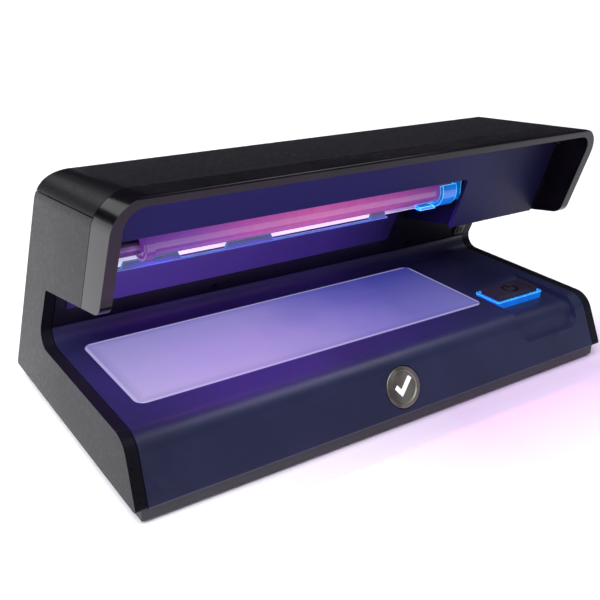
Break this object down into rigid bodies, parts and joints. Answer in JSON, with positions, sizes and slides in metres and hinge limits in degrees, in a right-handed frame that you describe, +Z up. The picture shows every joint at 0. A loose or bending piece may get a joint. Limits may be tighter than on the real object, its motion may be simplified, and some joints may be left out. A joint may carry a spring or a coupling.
{
  "type": "counterfeit bill detector",
  "caption": "compact counterfeit bill detector with an ultraviolet tube under a forward-leaning hood, a lit watermark window in the deck and a sprung power button",
  "frame": {"origin": "on the surface it stands on, at the centre of the bounding box", "axes": "+X to the right seen from the front, +Y to the back, +Z up"},
  "size_m": [0.1944, 0.1003, 0.088],
  "materials": {
    "shell": "fine-textured charcoal moulding",
    "deck": "satin blue-black moulding",
    "liner": "semi-gloss black moulding",
    "bezel": "piano black, fine hairline marks",
    "visor": "satin indigo-black moulding",
    "violet": "violet-lit satin sheet",
    "strip": "matte grey-brown plastic",
    "tube": "frosted tube glowing violet-pink",
    "cap": "lacquered end cap, violet-lit",
    "metal": "zinc-plated",
    "black": "matte black",
    "button": "soft-touch near-black",
    "symbol": "printed black, glossy",
    "clear": "clear acrylic with glowing blue edges",
    "guard": "clear acrylic, blue-lit",
    "white": "white, faintly violet",
    "window": "opal acrylic, back-lit lavender",
    "board": "solder-masked laminate",
    "rubber": "matte, slightly dusty",
    "badge": "satin bronze-grey",
    "emblem": "white lacquer",
    "copper": "varnished winding",
    "wire": "insulated wire"
  },
  "bodies": {
    "housing": {"back_wall_liner": "liner", "badge_disc": "badge", "badge_emblem": "emblem", "ballast_board": "board", "ballast_cover": "visor", "ballast_transformer": "copper", "bottom_cover": "strip", "bottom_screw_back_left": "metal", "bottom_screw_back_right": "metal", "bottom_screw_front_left": "metal", "bottom_screw_front_right": "metal", "button_led": "white", "button_light_ring": "clear", "button_spring": "metal", "capacitor": "black", "diffuser_sheet": "white", "document_deck": "deck", "foot_back_left": "rubber", "foot_back_right": "rubber", "foot_front_left": "rubber", "foot_front_right": "rubber", "front_bezel": "bezel", "hood_cover": "shell", "inlet_pin": "metal", "lamp_cap_left": "cap", "lamp_cap_right": "cap", "lamp_clip": "clear", "lamp_collar": "tube", "lamp_guard": "guard", "lamp_holder_left": "black", "lamp_holder_right": "clear", "lamp_lead_left": "wire", "lamp_lead_right": "wire", "lamp_reflector": "white", "lamp_tube": "tube", "led_1": "white", "led_2": "white", "led_3": "white", "led_4": "white", "led_5": "white", "led_6": "white", "led_board": "board", "led_lead": "wire", "left_side_panel": "shell", "liner_screw_left": "metal", "liner_screw_right": "metal", "main_board": "board", "power_inlet": "black", "rear_reflector": "violet", "right_side_panel": "shell", "supply_lead": "wire", "switch_body": "black", "transformer": "copper", "visor_panel": "visor", "wall_plug": "black", "watermark_window": "window"},
    "power_button": {"power_button_cap": "button", "power_symbol": "symbol", "switch_plunger": "white"}
  },
  "joints": [
    {"name": "power_button_press", "type": "slide", "parent": "housing", "child": "power_button", "axis": [0, 0, -1], "range_m": [0, 0.0012], "stiffness_N_per_m": 250, "springref_m": -0.001, "deforming": ["button_spring"]}
  ]
}
